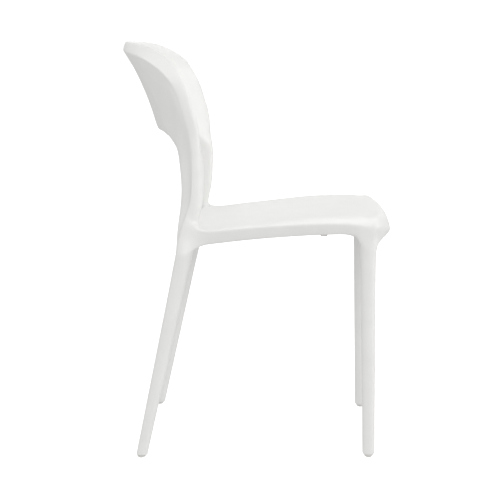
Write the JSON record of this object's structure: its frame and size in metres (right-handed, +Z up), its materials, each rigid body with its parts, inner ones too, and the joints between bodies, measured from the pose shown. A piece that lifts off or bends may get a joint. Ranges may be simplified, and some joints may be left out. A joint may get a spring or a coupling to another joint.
{
  "type": "stacking side chair",
  "caption": "White one-piece moulded stacking side chair with an open curved back hood and round tapered legs.",
  "frame": {"origin": "on the floor, under the middle of the chair's length and width", "axes": "+X forward from the sitter's back to the seat's front edge, +Y to the sitter's left, +Z up"},
  "size_m": [0.5398, 0.4764, 0.7986],
  "materials": {
    "white_polypropylene": "fine satin moulded texture",
    "white_nylon": "smooth satin",
    "grey_pad": "matt",
    "white_elastomer": "matt"
  },
  "bodies": {
    "root": {"body": "white_polypropylene", "glide_plug_front_left": "white_nylon", "glide_plug_front_right": "white_nylon", "glide_plug_rear_left": "white_nylon", "glide_plug_rear_right": "white_nylon", "glide_pad_front_left": "grey_pad", "glide_pad_front_right": "grey_pad", "glide_pad_rear_left": "grey_pad", "glide_pad_rear_right": "grey_pad", "stack_buffer_left": "white_elastomer", "stack_buffer_right": "white_elastomer"}
  },
  "joints": []
}
